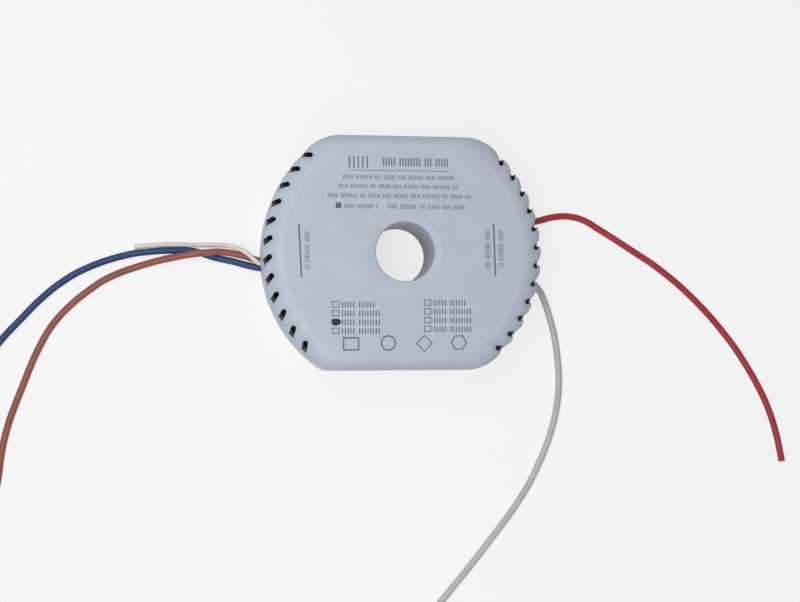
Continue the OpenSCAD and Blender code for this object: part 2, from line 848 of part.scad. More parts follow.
module lead(route, r) {
    n = len(route);
    s = lead_sides;
    points = [for (i = [0 : n - 1]) each lead_ring(route, r, i)];
    walls = [for (i = [0 : n - 2], k = [0 : s - 1])
        let (j = (k + 1) % s)
        each [[i * s + k, (i + 1) * s + k, (i + 1) * s + j], [i * s + k, (i + 1) * s + j, i * s + j]]];
    start = [for (k = [0 : s - 1]) k];
    end = [for (k = [0 : s - 1]) n * s - 1 - k];
    polyhedron(points, concat(walls, [start, end]));
}

module blue_lead() {
    color("#2d4b82") lead(blue_route, lead_r);
}

module brown_lead() {
    color("#96554b") lead(brown_route, lead_r);
}

module pale_lead() {
    color("#d8d2ca") lead(pale_route, pale_r);
}

module red_lead() {
    color("#a82d37") lead(red_route, lead_r);
}

module white_lead() {
    color("#b3b5b3") lead(white_route, lead_r);
}

top_cover();
base_plate();
case_screws();
circuit_board();
transformer_core();
transformer_bobbin();
transformer_winding();
choke_core();
choke_windings();
line_fuse();
surge_varistor();
line_capacitor();
bridge_rectifier();
bulk_capacitor();
safety_capacitor();
heat_sink();
power_transistor();
controller_chip();
optocoupler();
output_diode();
output_capacitor();
filter_capacitor();
inductor_core();
inductor_winding();
control_board();
control_chip();
blue_lead();
brown_lead();
pale_lead();
red_lead();
white_lead();
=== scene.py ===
"""LED driver in a slotted plastic housing: looks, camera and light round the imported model."""

import itertools
import json
import math
from collections import namedtuple

import bmesh
import bpy
from mathutils import Matrix, Vector


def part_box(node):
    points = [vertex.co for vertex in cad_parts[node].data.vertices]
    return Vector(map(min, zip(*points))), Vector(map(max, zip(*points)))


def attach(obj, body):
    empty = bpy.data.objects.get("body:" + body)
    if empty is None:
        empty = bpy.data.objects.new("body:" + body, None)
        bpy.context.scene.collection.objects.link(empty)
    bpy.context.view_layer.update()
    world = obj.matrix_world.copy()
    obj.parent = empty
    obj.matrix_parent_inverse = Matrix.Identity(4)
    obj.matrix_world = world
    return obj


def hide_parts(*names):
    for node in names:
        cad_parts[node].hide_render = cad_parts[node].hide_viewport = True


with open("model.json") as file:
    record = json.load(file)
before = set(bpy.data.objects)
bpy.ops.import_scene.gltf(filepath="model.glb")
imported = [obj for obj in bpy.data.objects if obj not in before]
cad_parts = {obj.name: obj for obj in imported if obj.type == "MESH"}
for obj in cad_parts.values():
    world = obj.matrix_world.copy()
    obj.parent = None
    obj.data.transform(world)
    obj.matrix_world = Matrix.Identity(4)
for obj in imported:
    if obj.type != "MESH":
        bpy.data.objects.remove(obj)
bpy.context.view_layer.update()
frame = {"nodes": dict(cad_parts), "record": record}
cad = frame["nodes"]

MM = 0.001


def link(thing):
    """Puts an object into the scene."""
    bpy.context.scene.collection.objects.link(thing)
    return thing


# Camera at the photograph's viewing angle

CAMERA_AT = Vector((-66, -38.8, 462.4)) * MM
CAMERA_AIM = Vector((1.5, -15.5, 0)) * MM
CAMERA_ROLL = math.radians(-0.31)
CAMERA_LENS = 59.4
CAMERA_SENSOR = 36


def make_camera():
    """Looks down on the printed face from a little to the left and below, with the face's +Y up."""
    data = bpy.data.cameras.new("camera")
    data.lens = CAMERA_LENS
    data.sensor_width = CAMERA_SENSOR
    camera = link(bpy.data.objects.new("camera", data))
    back = (CAMERA_AT - CAMERA_AIM).normalized()
    right = Vector((0, 1, 0)).cross(back).normalized()
    turn = Matrix((right, back.cross(right), back)).transposed().to_4x4()
    camera.matrix_world = Matrix.Translation(CAMERA_AT) @ turn @ Matrix.Rotation(CAMERA_ROLL, 4, "Z")
    bpy.context.scene.camera = camera


make_camera()

# Leads

# Routes in millimetres, from under the board to the cut end, as in the part's source
BLUE_ROUTE = (
    (-36, -6.8, 5.7), (-44, -4.2, 3.2), (-48.5, -4.2, 3.2), (-52.5, -3.3, 2.6), (-57.5, -1.9, 1.6),
    (-63.5, -0.6, 1.2), (-70.5, 1.5, 1.2), (-78, 1.8, 1.2), (-86, 1.3, 1.2), (-94, 0, 1.2),
    (-108, -5, 1.2), (-115, -9.2, 1.2), (-122, -15, 1.2), (-128.5, -21.8, 1.2), (-135, -29, 1.2),
    (-146, -44.5, 1.2),
)
BROWN_ROUTE = (
    (-36, 0.9, 5.7), (-44, -1.7, 3.2), (-48.5, -1.7, 3.2), (-52.5, -0.4, 3.2), (-62, 1.2, 3.4),
    (-66.5, 0.9, 3.7), (-71, 0.4, 3.5), (-80, -1.2, 1.9), (-86, -2.7, 1.2), (-100, -8, 1.2),
    (-106, -12, 1.2), (-112, -17, 1.2), (-117.5, -23, 1.2), (-121.5, -29.5, 1.2), (-128, -45, 1.2),
    (-133.5, -61.5, 1.2), (-136, -78, 1.2),
)
PALE_ROUTE = (
    (-38, -2.95, 5), (-44.5, -2.95, 4.85), (-48, -2.9, 4.85), (-49.6, -2, 5.2), (-51.3, -0.4, 5.3),
    (-53.3, 1.2, 5.1), (-55.7, 2.4, 4.3), (-58.2, 3.2, 3), (-61, 3.7, 1.7), (-64, 3.8, 0.9),
    (-67.5, 3.8, 0.8), (-72, 3.8, 0.8), (-78, 3.85, 0.8), (-84.5, 3.6, 0.8), (-91, 2.9, 0.8),
)
RED_ROUTE = (
    (36, 9.3, 5.7), (43, 11.1, 3.2), (47.5, 12.3, 3.2), (52, 13.4, 2.6), (57.5, 14.8, 1.6),
    (63, 15.1, 1.2), (68.5, 13.8, 1.2), (74, 10.7, 1.2), (88, 2, 1.2), (96, -3.2, 1.2),
    (110, -15, 1.2), (123, -29.6, 1.2), (128.5, -37.5, 1.2), (133.5, -46, 1.2), (137.5, -54.5, 1.2),
    (140.5, -64, 1.2), (142.5, -74, 1.2),
)
WHITE_ROUTE = (
    (36, -6.6, 5.7), (43, -7.8, 3.2), (47.8, -8.7, 3.2), (51, -11.2, 2.7), (53.5, -15.7, 2),
    (55.5, -21.5, 1.4), (57.2, -28, 1.2), (58.3, -36, 1.2), (58.7, -45, 1.2), (57.6, -54.5, 1.2),
    (55, -64, 1.2), (50.8, -74, 1.2), (45.4, -83.8, 1.2), (32, -101.5, 1.2), (9.5, -128, 1.2),
)
POWER_LEAD_D = 2.4 * MM
THIN_LEAD_D = 1.6 * MM
# Colour, route, diameter and whole length in metres of each lead
LEADS = (
    ("blue", BLUE_ROUTE, POWER_LEAD_D, 0.131),
    ("brown", BROWN_ROUTE, POWER_LEAD_D, 0.149),
    ("pale", PALE_ROUTE, THIN_LEAD_D, 0.058),
    ("red", RED_ROUTE, POWER_LEAD_D, 0.153),
    ("white", WHITE_ROUTE, POWER_LEAD_D, 0.150),
)
# Share of each lead's radius that its copper core takes, and how far the core shows past the cut end
CORE_SHARE = 0.42
CORE_SHOWS = 0.15 * MM
CURVE_STEPS = 16
LEAD_RING_STEPS = 5
CORE_RING_STEPS = 3


def smooth_curve(name, points, radius, ring_steps):
    """Curve object through the points, as a round rod with closed ends, its radius held by the points."""
    data = bpy.data.curves.new(name, "CURVE")
    data.dimensions = "3D"
    data.bevel_depth = 1
    data.bevel_resolution = ring_steps
    data.resolution_u = CURVE_STEPS
    data.use_fill_caps = True
    spline = data.splines.new("BEZIER")
    spline.bezier_points.add(len(points) - 1)
    for knot, point in zip(spline.bezier_points, points):
        knot.co = point
        knot.radius = radius
        knot.handle_left_type = knot.handle_right_type = "AUTO"
    return link(bpy.data.objects.new(name, data))


def make_lead(colour, route, diameter, length):
    """Insulated lead along its route, with the copper core showing in its cut end."""
    points = [Vector(p) * MM for p in route]
    lead = smooth_curve(colour + "_insulation", points, diameter / 2, LEAD_RING_STEPS)
    onward = (points[-1] - points[-2]).normalized()
    core_ends = [points[-1] - onward * diameter, points[-1] + onward * CORE_SHOWS]
    core = smooth_curve(colour + "_core", core_ends, diameter / 2 * CORE_SHARE, CORE_RING_STEPS)
    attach(lead, "root")
    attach(core, "root")
    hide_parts(colour + "_lead")
    return lead, core


leads = {lead[0]: make_lead(*lead) for lead in LEADS}

# Housing cover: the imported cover's form with finer curves, in millimetres

cover_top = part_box("top_cover")[1] / MM
BODY_R, HALF_FLATS, BODY_H = cover_top
STANDOFF_H = 5
BASE_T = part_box("circuit_board")[0].z / MM - STANDOFF_H
WALL = 2
CEILING = BODY_H - WALL
CORNER_R = 5
TOP_CORNER_R = 16
FACE_CORNER_R = 16
INNER_CORNER_R = 1
CEILING_CORNER_R = 4
# Shoulder between wall and face, wide on the round sides and narrow on the flat ones
SHOULDER_W = 7
FLAT_EDGE_W = 3.6
SHOULDER_DROP = 5
SHOULDER_FOOT = BODY_H - SHOULDER_DROP
# The shoulder's arc stops short of a right angle, which leaves a faint crease round the face
SHOULDER_ARC = math.radians(78)
# Bore through the middle, with a shallow dish round it and a rounded edge in the dish
BORE_R = 10
TUBE_R = 12
DISH_W = 2.7
DISH_DEPTH = 0.3
BORE_EDGE_R = 0.7
BORE_CHAMFER = 0.3
BORE_HEIGHTS = (14, 7)
# Leaning vent slots over each round side
SLOT_COUNT = 12
SLOT_PITCH = math.radians(8)
SLOT_W = 1.75
SLOT_LEAN = math.radians(40)
SLOT_REACH = 2.4
SLOT_FLOOR = 16
SLOT_START = Vector((BODY_R - SLOT_REACH, (SLOT_W / 2 - SLOT_REACH) * math.tan(SLOT_LEAN), 0))
SLOT_ALONG = Vector((math.cos(SLOT_LEAN), math.sin(SLOT_LEAN), 0))
# Soft hollow along each slot, which leaves rounded bumps between the slots
HOLLOW_DEPTH = 0.7
HOLLOW_SPREAD = 1.5
HOLLOW_FADE = 1.6
HOLLOW_FOOT = SLOT_FLOOR - HOLLOW_FADE
# Screw posts
POST_R = 40.4
POST_ANGLE = math.radians(43)
POST_D = 6.4
POST_FOOT = 8.6
PILOT_D = 2.6
PILOT_H = 7
# Openings for the leads
LEAD_Z = 3.2
NOTCH_R = 1.4
NOTCH_DEPTH = 3
LEFT_NOTCH = (-5.575, -0.325)
LEFT_NOTCH_TOP = 5.85
RED_EXIT = math.radians(14.5)
WHITE_EXIT = math.radians(-10.3)
# How far a cut passes the surface that it opens
CUT_PAST = 1
# Half the angle of each round side that is divided evenly
ROUND_HALF = math.radians(54)
ROUND_STEPS = 324
CORNER_STEPS = 12
FLAT_STEPS = 8
WALL_STEPS = 4
HOLLOW_STEPS = 10
SHOULDER_STEPS = 24
LIP_STEPS = 16
ARC_STEPS = 24
NOTCH_STEPS = 16
# Shares of the way over the face, from its edge to the dish, that have a ring of points
FACE_SHARES = (0.04, 0.35, 0.7, 0.98)
CREASE_ANGLE = math.radians(6.5)


def stations():
    """Directions round the outline, each with the share of the flat's half length that it lies at."""
    rest = math.pi / 2 - ROUND_HALF
    half = [(ROUND_HALF * (2 * i / ROUND_STEPS - 1), 1) for i in range(ROUND_STEPS + 1)]
    half += [(ROUND_HALF + rest * (i + 1) / CORNER_STEPS, 1) for i in range(CORNER_STEPS)]
    half += [(math.pi / 2, 1 - 2 * (i + 1) / FLAT_STEPS) for i in range(FLAT_STEPS - 1)]
    half += [(math.pi / 2 + rest * i / CORNER_STEPS, -1) for i in range(CORNER_STEPS)]
    return half + [(a + math.pi, -t) for a, t in half]


STATIONS = stations()


def outline(round_r, half, corner_r, z):
    """Round sides of one radius between two flats, with rounded corners, at one height."""
    corner_y = half - corner_r
    corner_x = math.sqrt((round_r - corner_r) ** 2 - corner_y ** 2)
    start = math.atan2(corner_y, corner_x)
    points = []
    for a, along in STATIONS:
        c, s = math.cos(a), math.sin(a)
        if math.atan2(abs(s), abs(c)) <= start:
            points.append(Vector((round_r * c, round_r * s, z)))
        else:
            y = math.copysign(corner_y, s) + corner_r * s
            points.append(Vector((along * corner_x + corner_r * c, y, z)))
    return points


def turn_z(angle):
    """Turn about the part's upright axis."""
    return Matrix.Rotation(angle, 4, "Z")


def slot_turns(side):
    """Turns about the axis that carry the slot on the +X axis to each slot of one round side."""
    return [turn_z(side + SLOT_PITCH * (i - (SLOT_COUNT - 1) / 2)) for i in range(SLOT_COUNT)]


TURNS_BACK = {side: [turn.inverted() for turn in slot_turns(side)] for side in (0, math.pi)}


def hollow_depth(point):
    """How far the surface sinks beside the slots: deepest over a slot's middle line, fading at its foot."""
    if point.z < HOLLOW_FOOT:
        return 0
    flat = Vector((point.x, point.y, 0))
    nearest = math.inf
    for turn in TURNS_BACK[0 if point.x > 0 else math.pi]:
        away = turn @ flat - SLOT_START
        away -= SLOT_ALONG * max(0, away.dot(SLOT_ALONG))
        nearest = min(nearest, away.length)
    fade = min(1, (point.z - SLOT_FLOOR + HOLLOW_FADE) / HOLLOW_FADE)
    return HOLLOW_DEPTH * fade * fade * (3 - 2 * fade) * math.exp(-(nearest / HOLLOW_SPREAD) ** 2)


def hollowed(ring, lean_back):
    """Ring sunk along the slots, square to a surface that leans back from upright by an angle."""
    points = []
    for p in ring:
        square = Vector((p.x, p.y, 0)).normalized() * math.cos(lean_back)
        square.z = math.sin(lean_back)
        points.append(p - square * hollow_depth(p))
    return points


def wall_ring(z):
    """Ring of the upright wall, whose corners open towards the shoulder."""
    corner = CORNER_R + (TOP_CORNER_R - CORNER_R) * z / SHOULDER_FOOT
    return hollowed(outline(BODY_R, HALF_FLATS, corner, z), 0)


def shoulder_ring(step):
    """Ring of the shoulder at one step of its arc."""
    a = SHOULDER_ARC * step / SHOULDER_STEPS
    share = (1 - math.cos(a)) / (1 - math.cos(SHOULDER_ARC))
    corner = TOP_CORNER_R + (FACE_CORNER_R - TOP_CORNER_R) * share
    z = SHOULDER_FOOT + SHOULDER_DROP * math.sin(a) / math.sin(SHOULDER_ARC)
    across = SHOULDER_W / (1 - math.cos(SHOULDER_ARC)) * math.sin(a)
    lean_back = math.atan2(across, SHOULDER_DROP / math.sin(SHOULDER_ARC) * math.cos(a))
    ring = outline(BODY_R - SHOULDER_W * share, HALF_FLATS - FLAT_EDGE_W * share, corner, z)
    return hollowed(ring, lean_back)


def circle(like, radius, z):
    """Ring of the bore, with a point in the direction of each point of another ring."""
    return [Vector((p.x, p.y, 0)).normalized() * radius + Vector((0, 0, z)) for p in like]


def between(ring_a, ring_b, share):
    """Ring at a share of the way from one ring to another."""
    return [a.lerp(b, share) for a, b in zip(ring_a, ring_b)]


def even(low, high, steps):
    """Even values from a low one up to a high one, without the high one itself."""
    return [low + (high - low) * i / steps for i in range(steps)]


def outside_rings():
    """Rings up the wall and over the shoulder to the edge of the face."""
    heights = even(BASE_T, HOLLOW_FOOT, WALL_STEPS) + even(HOLLOW_FOOT, SHOULDER_FOOT, HOLLOW_STEPS)
    return [wall_ring(z) for z in heights] + [shoulder_ring(i) for i in range(SHOULDER_STEPS + 1)]


def face_rings(face):
    """Rings over the face, down the dish and round the edge of the bore."""
    dish = circle(face, BORE_R + DISH_W, BODY_H)
    rings = [between(face, dish, share) for share in FACE_SHARES] + [dish]
    for i in range(LIP_STEPS + 1):
        a = math.pi / 2 * i / LIP_STEPS
        z = BODY_H - DISH_DEPTH - BORE_EDGE_R * (1 - math.cos(a))
        rings.append(circle(face, BORE_R + BORE_EDGE_R * (1 - math.sin(a)), z))
    return rings


def inside_rings(face):
    """Rings down the bore, up the outside of its tube, under the ceiling and down inside the wall."""
    rings = [circle(face, BORE_R, z) for z in (*BORE_HEIGHTS, BORE_CHAMFER)]
    rings += [circle(face, BORE_R + BORE_CHAMFER, 0), circle(face, TUBE_R, 0), circle(face, TUBE_R, CEILING)]
    ceiling_r = BODY_R - SHOULDER_W + WALL / 2
    ceiling_half = HALF_FLATS - FLAT_EDGE_W - WALL / 2
    ceiling = outline(ceiling_r, ceiling_half, CEILING_CORNER_R, CEILING)
    rings += [between(rings[-1], ceiling, 0.5), ceiling]
    heights = (SHOULDER_FOOT - WALL / 2, BASE_T)
    return rings + [outline(BODY_R - WALL, HALF_FLATS - WALL, INNER_CORNER_R, z) for z in heights]


def cover_rings():
    """Rings over the outside, down the bore and back along the inside, the last one next to the first."""
    outside = outside_rings()
    face = outside[-1]
    return outside + face_rings(face) + inside_rings(face)


def add_loop(mesh, rings):
    """Closed skin over rings of points in millimetres, with the last ring joined to the first."""
    rows = [[mesh.verts.new(p * MM) for p in ring] for ring in rings]
    for row, following in zip(rows, rows[1:] + rows[:1]):
        for i in range(len(row)):
            mesh.faces.new((row[i - 1], row[i], following[i], following[i - 1]))


def mesh_object(name, mesh):
    """Object made of a finished mesh."""
    data = bpy.data.meshes.new(name)
    mesh.to_mesh(data)
    mesh.free()
    return link(bpy.data.objects.new(name, data))


def closed_mesh(name, rings):
    """Object with a closed skin over rings of points."""
    mesh = bmesh.new()
    add_loop(mesh, rings)
    bmesh.ops.recalc_face_normals(mesh, faces=mesh.faces)
    return mesh_object(name, mesh)


def add_prism(mesh, plan, low, high, place=Matrix()):
    """Closed prism over a plan, in millimetres, turned and moved by a matrix."""
    bottom = [mesh.verts.new(place @ Vector((x, y, low)) * MM) for x, y in plan]
    top = [mesh.verts.new(place @ Vector((x, y, high)) * MM) for x, y in plan]
    mesh.faces.new(bottom[::-1])
    mesh.faces.new(top)
    for i in range(len(plan)):
        mesh.faces.new((bottom[i - 1], bottom[i], top[i], top[i - 1]))


def arc(radius, start, end, steps, middle=(0, 0)):
    """Points of an arc about a middle, with both its ends."""
    angles = [start + (end - start) * i / steps for i in range(steps + 1)]
    return [(middle[0] + radius * math.cos(a), middle[1] + radius * math.sin(a)) for a in angles]


def ring_plan(radius, steps=ARC_STEPS):
    """Points of a full circle, each one once."""
    return arc(radius, 0, 2 * math.pi * (1 - 1 / steps), steps - 1)


def post_places():
    """Places of the four screw posts."""
    x = POST_R * math.cos(POST_ANGLE)
    y = POST_R * math.sin(POST_ANGLE)
    return [Matrix.Translation((sx * x, sy * y, 0)) for sx in (-1, 1) for sy in (-1, 1)]


def add_slots(mesh):
    """Leaning slots over both round sides, from their rounded inner ends out through the wall."""
    plan = [(SHOULDER_W, -SLOT_W / 2), (SHOULDER_W, SLOT_W / 2)]
    plan += arc(SLOT_W / 2, math.pi / 2, 3 * math.pi / 2, ARC_STEPS)
    place = Matrix.Translation(SLOT_START) @ turn_z(SLOT_LEAN)
    for turn in slot_turns(0) + slot_turns(math.pi):
        add_prism(mesh, plan, SLOT_FLOOR, BODY_H + WALL, turn @ place)


def add_notches(mesh):
    """Openings for the leads at the lower edge of the wall."""
    low = BASE_T - CUT_PAST
    outer, inner = -BODY_R - CUT_PAST, -BODY_R + NOTCH_DEPTH
    front, back = LEFT_NOTCH
    add_prism(mesh, [(outer, front), (inner, front), (inner, back), (outer, back)], low, LEFT_NOTCH_TOP)
    arch = [(-NOTCH_R, low), (NOTCH_R, low)] + arc(NOTCH_R, 0, math.pi, NOTCH_STEPS, (0, LEAD_Z))
    upright = turn_z(math.pi / 2) @ Matrix.Rotation(math.pi / 2, 4, "X")
    for angle in (RED_EXIT, WHITE_EXIT):
        add_prism(mesh, arch, BODY_R - NOTCH_DEPTH, BODY_R + CUT_PAST, turn_z(angle) @ upright)


def combine(target, tool, operation):
    """Joins or cuts a solid with another, which is then removed."""
    step = target.modifiers.new(operation.lower(), "BOOLEAN")
    step.object = tool
    step.operation = operation
    step.solver = "EXACT"
    shaped = target.evaluated_get(bpy.context.evaluated_depsgraph_get())
    data = bpy.data.meshes.new_from_object(shaped)
    target.modifiers.clear()
    target.data = data
    bpy.data.objects.remove(tool)


def smooth_by_angle(thing, angle):
    """Smooth shading with crisp edges where the faces turn by more than an angle."""
    for polygon in thing.data.polygons:
        polygon.use_smooth = True
    thing.data.set_sharp_from_angle(angle=angle)


def make_cover():
    """Moulded cover: its skin joined with the screw posts, and the slots, notches and pilot holes cut out."""
    cover = closed_mesh("housing_cover", cover_rings())
    posts = bmesh.new()
    for place in post_places():
        add_prism(posts, ring_plan(POST_D / 2), POST_FOOT, CEILING + WALL / 2, place)
    combine(cover, mesh_object("posts", posts), "UNION")
    cuts = bmesh.new()
    add_slots(cuts)
    add_notches(cuts)
    for place in post_places():
        add_prism(cuts, ring_plan(PILOT_D / 2), POST_FOOT - CUT_PAST, POST_FOOT + PILOT_H, place)
    bmesh.ops.recalc_face_normals(cuts, faces=cuts.faces)
    combine(cover, mesh_object("cuts", cuts), "DIFFERENCE")
    smooth_by_angle(cover, CREASE_ANGLE)
    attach(cover, "root")
    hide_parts("top_cover")
    return cover


cover = make_cover()

# Printed marks on the face: rows of plain strokes, rules, tick boxes and outline marks, in millimetres

INK_T = 0.03
INK_SINK = 0.02
# Strokes in each group of a row, repeated along it
WORDS = (5, 8, 3, 6, 4, 7)
Strokes = namedtuple("Strokes", "height line pitch")
FINE = 0.26
ROW_STROKES = Strokes(1.5, FINE, 0.72)
LEFT_STROKES = Strokes(1.6, FINE, 0.75)
RIGHT_STROKES = Strokes(1.7, FINE, 0.75)
RATING_STROKES = Strokes(1.9, 0.36, 0.95)
# Start, end, foot and look of the rows in the heading, and the corners of the rule under them
HEADING_ROWS = ((-19.1, -10.4, 28.2, Strokes(3.9, 0.42, 1.5)), (-7.6, 14.8, 28.9, Strokes(2.8, 0.4, 0.95)))
HEADING_RULE = (-18.5, 27.25, 14.8, 27.45)
# Start, end and foot of each row of small strokes, and the corners of the filled box before the last line
TEXT_ROWS = (
    (-21, 17.4, 24.3), (-22.7, 18.9, 21.2), (-26.2, 22.9, 18), (-20.6, -8.9, 14.4), (-6, 20.7, 14.4),
)
FILLED_BOX = (-23.6, 14.4, -21.7, 16.3)
# Left corners, at foot and head, of the rule on each connection side
SIDE_RULES = (((-35.3, -8.8), (-36.2, 8.9)), ((30.6, -8.2), (30.1, 9.7)))
SIDE_RULE_W = 0.5
# Left edge, top, bottom and look of the upright rows beside those rules
SIDE_ROWS = ((-34, 6.4, -6.6, LEFT_STROKES), (27.4, 7.6, -6.4, RIGHT_STROKES), (32, 7.4, -5.6, RIGHT_STROKES))
# Upper left corner of each column of tick boxes, and the reach of the strokes in each of its rows
TICK_COLUMNS = ((-24.9, -16.8), (6.2, -16.2))
TICK_STEP = 2.95
TICK_W = 2.4
TICK_H = 2.1
TICK_LINE = 0.28
RATING_GAP = 0.9
RATING_REACH = (12.2, 14.3, 14, 14.5)
# Outline marks at the foot of the face: a box, and middle, radius and sides of the others
MARK_LINE = 0.45
MARK_BOX = (-21.3, -33.3, -15.8, -28.8)
ROUND_MARKS = (((-6, -30.8), 2.6, 32), ((6.2, -30.9), 2.9, 4), ((18, -30.7), 2.8, 6))
# Pen blot over one tick box: depth, count and shift of the waves in its edge
MARKED_ROW = 2
BLOT_SHIFT = 0.1
BLOT_RADII = (1.65, 1.15)
BLOT_T = 1.5 * INK_T
BLOT_STEPS = 40
BLOT_WAVES = ((0.06, 3, 0.6), (0.04, 7, 0))


def stroke_places(length, look):
    """Places of even strokes along a row, with a gap after each group."""
    at = 0
    for count in itertools.cycle(WORDS):
        for _ in range(count):
            if at + look.line > length:
                return
            yield at
            at += look.pitch
        at += look.pitch


class Print:
    """Thin closed slabs of ink on the flat face."""

    def __init__(self):
        self.mesh = bmesh.new()

    def slab(self, plan, thickness=INK_T):
        """Slab of ink over a plan."""
        add_prism(self.mesh, plan, BODY_H - INK_SINK, BODY_H + thickness)

    def bar(self, x0, y0, x1, y1):
        """Filled rectangle."""
        self.slab([(x0, y0), (x1, y0), (x1, y1), (x0, y1)])

    def band(self, outer, inner):
        """Closed band of ink between two outlines."""
        low, top = BODY_H - INK_SINK, BODY_H + INK_T
        edges = ((outer, low), (outer, top), (inner, top), (inner, low))
        add_loop(self.mesh, [[Vector((x, y, z)) for x, y in plan] for plan, z in edges])

    def box(self, x0, y0, x1, y1, line):
        """Outline of a rectangle."""
        outer = [(x0, y0), (x1, y0), (x1, y1), (x0, y1)]
        u0, v0, u1, v1 = x0 + line, y0 + line, x1 - line, y1 - line
        self.band(outer, [(u0, v0), (u1, v0), (u1, v1), (u0, v1)])

    def row(self, x0, x1, foot, look):
        """Row of strokes from left to right."""
        for at in stroke_places(x1 - x0, look):
            self.bar(x0 + at, foot, x0 + at + look.line, foot + look.height)

    def upright_row(self, x, top, bottom, look):
        """Row of lying strokes from the top down."""
        for at in stroke_places(top - bottom, look):
            self.bar(x, top - at - look.line, x + look.height, top - at)

    def polygon_mark(self, middle, radius, sides, line):
        """Outline of a regular polygon or circle."""
        x, y = middle
        rims = [[(x + u, y + v) for u, v in ring_plan(r, sides)] for r in (radius, radius - line)]
        self.band(*rims)

    def finish(self, name):
        """Object made of all the slabs."""
        bmesh.ops.recalc_face_normals(self.mesh, faces=self.mesh.faces)
        piece = mesh_object(name, self.mesh)
        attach(piece, "root")
        return piece


def print_heading(ink):
    """Two rows of large strokes over a rule."""
    for x0, x1, foot, look in HEADING_ROWS:
        ink.row(x0, x1, foot, look)
    ink.bar(*HEADING_RULE)


def print_rows(ink):
    """Rows of small strokes under the heading."""
    for x0, x1, foot in TEXT_ROWS:
        ink.row(x0, x1, foot, ROW_STROKES)
    ink.bar(*FILLED_BOX)


def print_sides(ink):
    """Rule and upright rows at each connection side."""
    for foot, head in SIDE_RULES:
        ink.slab([foot, (foot[0] + SIDE_RULE_W, foot[1]), (head[0] + SIDE_RULE_W, head[1]), head])
    for x, top, bottom, look in SIDE_ROWS:
        ink.upright_row(x, top, bottom, look)


def print_ratings(ink):
    """Two columns of tick boxes, each box with a row of strokes."""
    for left, top in TICK_COLUMNS:
        right = left + TICK_W
        for i, reach in enumerate(RATING_REACH):
            y = top - i * TICK_STEP
            ink.box(left, y - TICK_H, right, y, TICK_LINE)
            ink.row(right + RATING_GAP, right + reach, y - TICK_H, RATING_STROKES)


def print_marks(ink):
    """Plain outline marks at the foot of the face."""
    ink.box(*MARK_BOX, MARK_LINE)
    for middle, radius, sides in ROUND_MARKS:
        ink.polygon_mark(middle, radius, sides, MARK_LINE)


def make_print():
    """All printed marks as one piece."""
    ink = Print()
    for part in (print_heading, print_rows, print_sides, print_ratings, print_marks):
        part(ink)
    return ink.finish("face_print")


def make_marker_blot():
    """Tick box filled in by hand with a felt pen: an uneven blot over its frame."""
    left, top = TICK_COLUMNS[0]
    middle = (left + TICK_W / 2 + BLOT_SHIFT, top - MARKED_ROW * TICK_STEP - TICK_H / 2)
    plan = []
    for i in range(BLOT_STEPS):
        a = 2 * math.pi * i / BLOT_STEPS
        uneven = 1 + sum(depth * math.sin(count * a + shift) for depth, count, shift in BLOT_WAVES)
        x = middle[0] + BLOT_RADII[0] * uneven * math.cos(a)
        plan.append((x, middle[1] + BLOT_RADII[1] * uneven * math.sin(a)))
    blot = Print()
    blot.slab(plan, BLOT_T)
    return blot.finish("marker_blot")


face_print = make_print()
marker_blot = make_marker_blot()

# Materials

EVEN = (1, 1, 1)
BLACK = (0, 0, 0, 1)
WHITE = (1, 1, 1, 1)
RAMP_START = 0.3
RAMP_END = 0.7
CLOUD_DETAIL = 3
GRAIN_DETAIL = 2
# Moulded plastic: clouds in its colour, wander of its roughness, and its fine grain
CLOUD_SCALE = 90
MOULD_ROUGH = (0.42, 0.55)
MOULD_ROUGH_SCALE = 400
MOULD_GRAIN = 2600
MOULD_GRAIN_H = 0.012 * MM
# Painted shade in the cover's slots and down its bore: its colour, and for the slots its reach, and the open
# share of the sky where it starts and ends
SHADE_RGB = (40, 42, 54)
SHADE_REACH = 14 * MM
SHADE_SPAN = (0.6, 0.86)
SHADE_SAMPLES = 8
# Rounding of the cover's edges as seen
EDGE_ROUND = 0.3 * MM
EDGE_SAMPLES = 4
# Share of the plain colour at the upper and lower end of the bore's wall, the rest being painted shade
BORE_TOP_SHARE = 1.0
BORE_LOW_SHARE = 0.2
# Width over the bore that still counts as its wall, in millimetres
BORE_MARGIN = 0.1
# Places of the colour sockets of a Mix node
MIX_A = 6
MIX_B = 7
MIX_RESULT = 2


def srgb(red, green, blue):
    """Colour as seen, 0 to 255, as the linear colour that shaders take."""
    def linear(c):
        c = c / 255
        return c / 12.92 if c <= 0.04045 else ((c + 0.055) / 1.055) ** 2.4
    return (linear(red), linear(green), linear(blue), 1)


def math_node(tree, operation, first, second):
    """Output of a Math node, with a link or a plain number on each of its two inputs."""
    node = tree.nodes.new("ShaderNodeMath")
    node.operation = operation
    for socket, value in zip(node.inputs, (first, second)):
        if isinstance(value, bpy.types.NodeSocket):
            tree.links.new(value, socket)
        else:
            socket.default_value = value
    return node.outputs["Value"]


